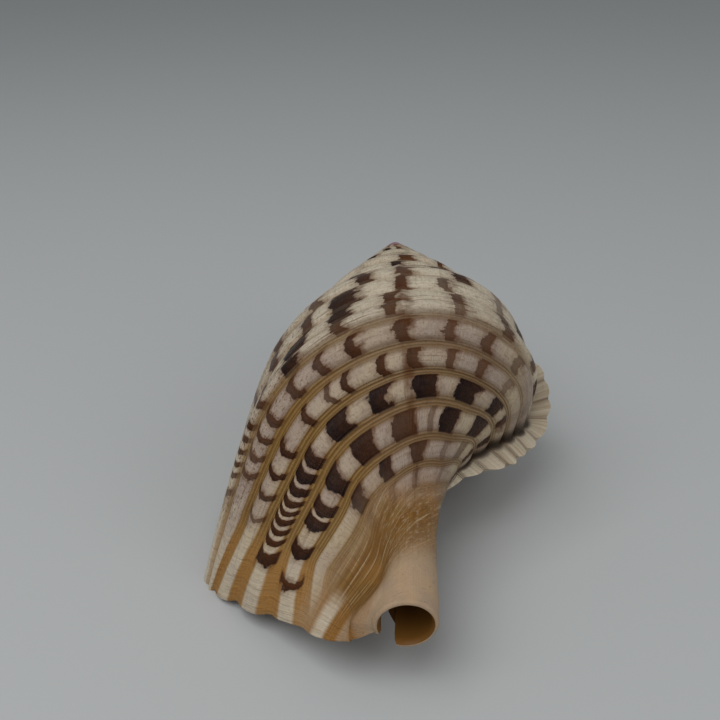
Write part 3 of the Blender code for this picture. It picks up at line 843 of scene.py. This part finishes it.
def shell_places(net):
    """Values that say where a place is on the shell, and the noises that vary its colours.

    Each part's share runs from 0 outside the part to 1 inside it.
    """
    at = SimpleNamespace()
    at.t, at.s = t, s = net.uv("coil")
    at.count, at.strength = net.uv("marks")
    at.tone, at.varix = net.uv("tone")
    at.zone, at.cord = net.uv("zone")
    place = net.node("ShaderNodeTexCoord", None, (), "Object")
    at.soft = net.noise(place, 26.0)
    at.medium = net.noise(place, 110.0, 3.0)
    at.fine = net.noise(place, 520.0, 4.0)
    at.growth_line = net.along(t * 330.0, s * 6.0, 4.0, 0.65)
    at.thread = net.along(t * 7.0, s * 62.0, 4.0, 0.7)
    at.speck = net.along(t * 260.0, s * 75.0, 2.0, 0.7)
    at.ragged = net.along(t * 60.0, s * 24.0, 3.0, 0.6)
    at.stripes = net.along(t * 5.0 + s * 3.0, s * 95.0 - t * 22.0, 3.0, 0.6)
    at.shoulder = s.step(1.10, 0.98)
    at.lip = t.step(-0.075, -0.03)
    at.edge = t.step(-0.055, -0.02)
    at.flange = t.step(-0.24, -0.10)
    at.early = t.step(-0.16, -0.30)
    at.neck = (s - t.step(-0.20, -0.32) * 0.07).step(1.50, 1.62)
    at.canal = (s - at.flange * 0.10).step(1.76, 1.88)
    at.flank = s.step(1.30, 1.05) * t.step(-0.26, -0.15) * t.step(-0.02, -0.05)
    at.waist = s.step(0.85, 1.1) * (1.0 - at.neck) * t.step(-0.52, -0.42) * t.step(-0.08, -0.16)
    return at


def groove_shares(at):
    """Adds the grooves between the cords, their riblets and the varix fronts to the places."""
    across = at.cord + at.medium * 0.04 - at.cord.math("FLOOR")
    at.from_groove = across.least(1.0 - across)
    low_cords = at.cord.step(0.8, -0.5)
    narrow = low_cords * 0.05 + at.early * 0.06 - at.lip * 0.06
    groove = (at.from_groove + narrow).step(0.27, 0.16)
    groove = groove * (1.0 - at.shoulder * 0.6) * (1.0 - at.neck)
    at.groove = groove * (1.0 - low_cords * at.early * 0.45)
    wave = (at.from_groove * (2.0 * math.pi / 0.105)).math("COSINE")
    at.riblet = wave * at.groove * (1.0 - at.lip * 0.75)
    last_front = at.t.step(-0.665, -0.640) * at.t.step(-0.6085, -0.6115)
    front = last_front.most(at.varix.step(0.15, 0.30))
    at.ridge = front * at.s.step(0.2, 0.5) * at.t.step(-1.30, -1.20)


def mark_shares(at):
    """Adds the marks to the places: squares and crescents, each with a paler halo behind it."""
    run = at.count + at.ragged * 0.42 + at.fine * 0.08
    at.cell = run - run.math("FLOOR")
    near = abs(at.cell - 0.5)
    on_cord = at.from_groove.step(0.07, 0.15).most(at.shoulder * 0.9)
    shown = at.strength * on_cord * (1.0 - at.neck * 0.6) * (1.0 - at.ridge)
    shown = shown * (1.0 - at.zone.least(1.0))
    at.mark = near.step(0.275, 0.225) * shown
    at.halo = near.step(0.40, 0.25) * (0.55 + at.cell.step(0.6, 0.2) * 0.45) * shown


def whorl_colour(net, look, at):
    """Cords between the marks: cream with a rose flush, threads, specks, golden grooves, and
    painted shade in brown along the cords' edges by the grooves.
    """
    flush = at.soft * 2.6 + at.medium * 0.8 + 0.5
    flush = (flush - at.shoulder * 0.4 + at.flank * 0.3 + at.waist * 0.25).step(0.15, 0.9)
    pale = (at.medium * 1.6 + at.soft + at.shoulder * 0.75).step(0.1, 0.8)
    # Painted shade: brown along the cords' edges where they round down into the grooves, stronger
    # at the waist.
    edges = at.from_groove.step(0.34, 0.14) * (at.waist * 0.5 + 0.08)
    lines = at.growth_line.step(0.03, 0.25) * (0.45 + at.lip * 0.2)
    threads = at.thread.step(0.05, 0.18) * (0.35 + at.shoulder * 0.40)
    specks = at.speck.step(0.03, 0.14) * (at.flank * 0.65 + 0.30)
    riblets = at.groove * at.riblet.step(0.1, -0.6) * (0.75 - at.lip * 0.65 - at.early * 0.15)
    stains = (at.ragged * 1.2 + at.medium).step(0.10, 0.45) * (1.0 - at.lip) * 0.45
    layers = ((look.rose, flush), (look.white, pale),
              (look.rose, at.waist * 0.35 + at.flank * 0.25), (look.brown, edges),
              (look.gold, lines), (look.brown, threads), (look.brown, specks),
              (look.gold, at.groove * (0.9 - at.early * 0.55)), (look.ochre, riblets),
              (look.brown, stains))
    return net.layered(look.cream, layers)


def neck_colour(net, look, at):
    """Golden stripes between the whorl and the canal, with two white lobes at the lip."""
    lines = net.along(at.t * 40.0, at.s * 150.0, 2.0, 0.6).step(0.0, 0.25)
    peachy = at.s.step(1.68, 1.84) * at.t.step(-0.12, -0.30) * 0.45
    lobe = abs(at.s - 1.635).step(0.045, 0.015) * at.edge
    far_lobe = abs(at.s - 1.80).step(0.05, 0.02) * at.edge * 0.35
    layers = ((look.gold, at.stripes.step(-0.12, 0.22)),
              (look.amber, (at.soft * 2.4 + at.medium).step(-0.1, 0.5) * 0.6),
              (look.cream, at.stripes.step(0.06, 0.26) * 0.8), (look.peach, peachy),
              (look.white, lines * (1.0 - at.flange) * 0.30),
              (look.brown, at.growth_line.step(0.02, 0.20) * 0.6),
              (look.amber, at.edge * 0.55),
              (look.white, lobe.most(far_lobe) * (0.8 - at.growth_line)))
    return net.layered(look.ochre, layers)


def outside_colour(net, look, at):
    """The whole outside: whorls, neck, canal, the lip's bars, scar, marks, varix, painted shade in
    the crevice at the varix's foot, and tip.
    """
    flushed = (at.medium * 2.0 + at.soft + 0.4).least(1.0).most(0.0) * 0.6
    bars = at.groove * at.lip * (at.growth_line * 1.6 + 0.75).least(1.0)
    scar = at.t - (at.s.step(*SCAR_S) * SCAR_LEAN + SCAR_T) + at.medium * 0.006
    scar = abs(scar).step(0.012, 0.002) * (1.0 - at.neck)
    tone = at.tone * 0.8 + at.fine * 0.5 + at.cell.step(0.75, 0.30) * 0.2
    front = net.mix(look.white, look.gold, (at.thread * 2.0 + 0.2).least(1.0).most(0.0))
    front = net.mix(front, look.rust, at.from_groove.step(0.14, 0.05) * 0.4)
    # Painted shade: near-black in the crevice at the foot of the last varix's front.
    painted_crevice_shade = at.t.step(-0.6115, -0.608) * at.t.step(-0.570, -0.600)
    painted_crevice_shade = painted_crevice_shade * at.s.step(0.5, 0.8) * at.s.step(1.62, 1.5)
    layers = ((neck_colour(net, look, at), at.neck * (1.0 - at.canal)),
              (look.peach, at.canal), (look.rose, at.canal * flushed),
              (look.amber, at.canal * (1.0 - at.canal.step(0.6, 1.0)) * at.flange * 0.5),
              (look.brown, at.canal * at.fine.step(0.16, 0.26) * 0.5),
              (look.white, at.lip * (1.0 - at.groove) * 0.45 * (1.0 - at.neck)),
              (look.amber, bars * 0.85),
              (look.ochre, at.growth_line.step(0.10, 0.26) * at.edge * 0.55),
              (look.rust, scar * (at.medium * 2.0 + 0.55).step(0.2, 0.9) * 0.75),
              (look.rust, at.halo * 0.7),
              (net.mix(look.chocolate, look.rust, tone.least(1.0)), at.mark),
              (front, at.ridge), (look.chocolate, painted_crevice_shade * 0.85),
              (look.amber, at.t.step(-3.5, -4.3) * (0.40 + at.medium)),
              (look.apex, at.t.step(-4.45, -5.0)))
    return net.layered(whorl_colour(net, look, at), layers)


def inside_colour(net, look, at):
    """The mouth: orange, with painted shade making it darker far in, dark between the teeth, white
    on the lip and the folds.
    """
    inner_side = at.s.step(3.5, 3.6)
    teeth = at.from_groove.step(0.24, 0.16) * at.t.step(-0.075, -0.055) * at.t.step(0.0, -0.012)
    folds = ((at.s * (2.0 * math.pi * FOLDS)).math("COSINE") * 0.5 + 0.5).step(0.35, 0.6)
    folded = net.mix(look.chocolate, look.enamel, folds)
    # Painted shade: the mouth turns to the dark shade colour further in.
    layers = ((look.deep_shade, at.t.step(-0.05, -0.6)), (look.enamel, at.t.step(-0.03, 0.0) * 0.8),
              (look.chocolate, teeth * (1.0 - inner_side)),
              (folded, inner_side * at.t.step(-0.10, -0.03) * at.s.step(5.0, 4.8) * 0.85))
    return net.layered(look.mouth, layers)


def shell_finish():
    """The shell's colours and fine relief, drawn along the coil."""
    look, net = colours(), Net("shell")
    at = shell_places(net)
    groove_shares(at)
    mark_shares(at)
    # Painted shade: the bore is dark deep inside, turning ochre towards the canal's end.
    bore = net.mix(look.deep_shade, look.ochre, at.s.step(1.86, 1.97))
    layers = ((inside_colour(net, look, at), at.zone.step(0.4, 0.6)),
              (bore, at.zone.step(1.4, 1.6)))
    base = net.layered(outside_colour(net, look, at), layers)
    rough = 0.36 + at.fine * 0.14 + at.groove * 0.10 - at.mark * 0.08
    relief = at.riblet * 0.4 + at.growth_line * (0.8 + at.edge)
    relief = relief + at.thread * (0.6 + at.shoulder) + at.fine * 0.45
    relief = relief + (at.stripes * 0.8 + at.medium * at.canal * 1.5) * at.neck
    height = relief * at.zone.step(0.6, 0.4)
    bump = {"Strength": 0.7, "Distance": 0.0010, "Height": height}
    net.surface_values({"Base Color": base, "Roughness": rough,
                        "Normal": net.node("ShaderNodeBump", None, bump),
                        "Specular IOR Level": 0.10, "Coat Weight": 0.03, "Coat Roughness": 0.25})
    return net.material


class TRITON_OT_shell(bpy.types.Operator):
    """Build the whole shell in place of its plain solid"""
    bl_idname = "triton.shell"
    bl_label = "Shell"

    def execute(self, context):
        shell = outside_skin()
        carve(shell, tip_ball(), [hollow_cutter(), bore_cutter(), slit_cutter(), ground_cutter()])
        shell.name = "triton_shell"
        shell.data.materials.clear()
        shell.data.materials.append(shell_finish())
        shell.data.set_sharp_from_angle(angle=math.radians(50.0))
        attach(shell, "root")
        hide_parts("shell")
        return {"FINISHED"}


class TRITON_OT_stage(bpy.types.Operator):
    """Build the table, the soft light and the camera"""
    bl_idname = "triton.stage"
    bl_label = "Stage"

    def execute(self, context):
        look, scene = context.scene.stage_look, context.scene
        table_top(look)
        soft_light("key", KEY_PLACE, look.light)
        soft_light("fill", FILL_PLACE, look.light * FILL_SHARE)
        world = bpy.data.worlds.new("studio")
        world.use_nodes = True
        background = world.node_tree.nodes["Background"]
        background.inputs["Color"].default_value = ROOM
        background.inputs["Strength"].default_value = ROOM_STRENGTH
        scene.world = world
        scene.camera = photo_camera(look)
        scene.view_settings.view_transform = "Standard"
        return {"FINISHED"}


def table_top(look):
    """A plain sheet: flat under the shell, swept up far behind it."""
    x = np.linspace(-6.0, 6.0, 13)
    run = np.linspace(-4.0, 9.0, 66)
    rise = 0.9 * ease(3.0, 9.0, run) * (run > 3.0)
    points = np.stack(np.broadcast_arrays(x[:, None], run[None], rise[None]), -1)
    grid = np.arange(points.shape[0] * points.shape[1]).reshape(points.shape[:2])
    mesh = bpy.data.meshes.new("table")
    mesh.from_pydata(points.reshape(-1, 3), [], quads(grid).tolist())
    mesh.shade_smooth()
    table = bpy.data.objects.new("table", mesh)
    bpy.context.scene.collection.objects.link(table)
    net = Net("table")
    place = net.node("ShaderNodeTexCoord", None, (), "Object")
    cloud = net.noise(place, 3.0) * 0.05
    net.surface_values({"Base Color": look.table, "Roughness": 0.6 + cloud})
    mesh.materials.append(net.material)
    return table


def soft_light(name, place, power):
    """A large square light that faces the shell."""
    lamp = bpy.data.lights.new(name, "AREA")
    lamp.size = LIGHT_SIZE
    lamp.energy = power
    light = bpy.data.objects.new(name, lamp)
    light.location = place
    aim = Vector(LIGHT_AIM) - Vector(place)
    light.rotation_euler = aim.to_track_quat("-Z", "Y").to_euler()
    bpy.context.scene.collection.objects.link(light)


def photo_camera(look):
    """The camera at the photo's place."""
    data = bpy.data.cameras.new("camera")
    data.lens = look.lens
    data.sensor_width = SENSOR
    data.clip_start = 0.01
    camera = bpy.data.objects.new("camera", data)
    aim = Vector(CAMERA_AIM) - Vector(CAMERA_PLACE)
    turn = aim.to_track_quat("-Z", "Y").to_matrix().to_4x4()
    turn = turn @ Matrix.Rotation(CAMERA_ROLL, 4, "Z")
    camera.matrix_world = Matrix.Translation(CAMERA_PLACE) @ turn
    bpy.context.scene.collection.objects.link(camera)
    return camera


class TRITON_PT_panel(bpy.types.Panel):
    """Lists the shell's settings and its parts"""
    bl_label = "Giant Triton Shell"
    bl_space_type = "VIEW_3D"
    bl_region_type = "UI"
    bl_category = "Triton"

    def draw(self, context):
        scene = context.scene
        for group in (scene.shell_sizes, scene.shell_colours, scene.stage_look):
            box = self.layout.box()
            for name in group.bl_rna.properties.keys():
                if name not in ("rna_type", "name"):
                    box.prop(group, name)
        self.layout.operator("triton.shell")
        self.layout.operator("triton.stage")


CLASSES = (ShellSizes, ShellColours, StageLook, TRITON_OT_shell, TRITON_OT_stage, TRITON_PT_panel)


def register():
    """Adds the classes and the scene's settings."""
    for kind in CLASSES:
        bpy.utils.register_class(kind)
    bpy.types.Scene.shell_sizes = PointerProperty(type=ShellSizes)
    bpy.types.Scene.shell_colours = PointerProperty(type=ShellColours)
    bpy.types.Scene.stage_look = PointerProperty(type=StageLook)


def unregister():
    """Takes away the settings and the classes."""
    del bpy.types.Scene.stage_look
    del bpy.types.Scene.shell_colours
    del bpy.types.Scene.shell_sizes
    for kind in reversed(CLASSES):
        bpy.utils.unregister_class(kind)


def main():
    """Builds the shell and the stage, in metres."""
    register()
    bpy.ops.triton.shell()
    bpy.ops.triton.stage()


if __name__ == "__main__":
    main()
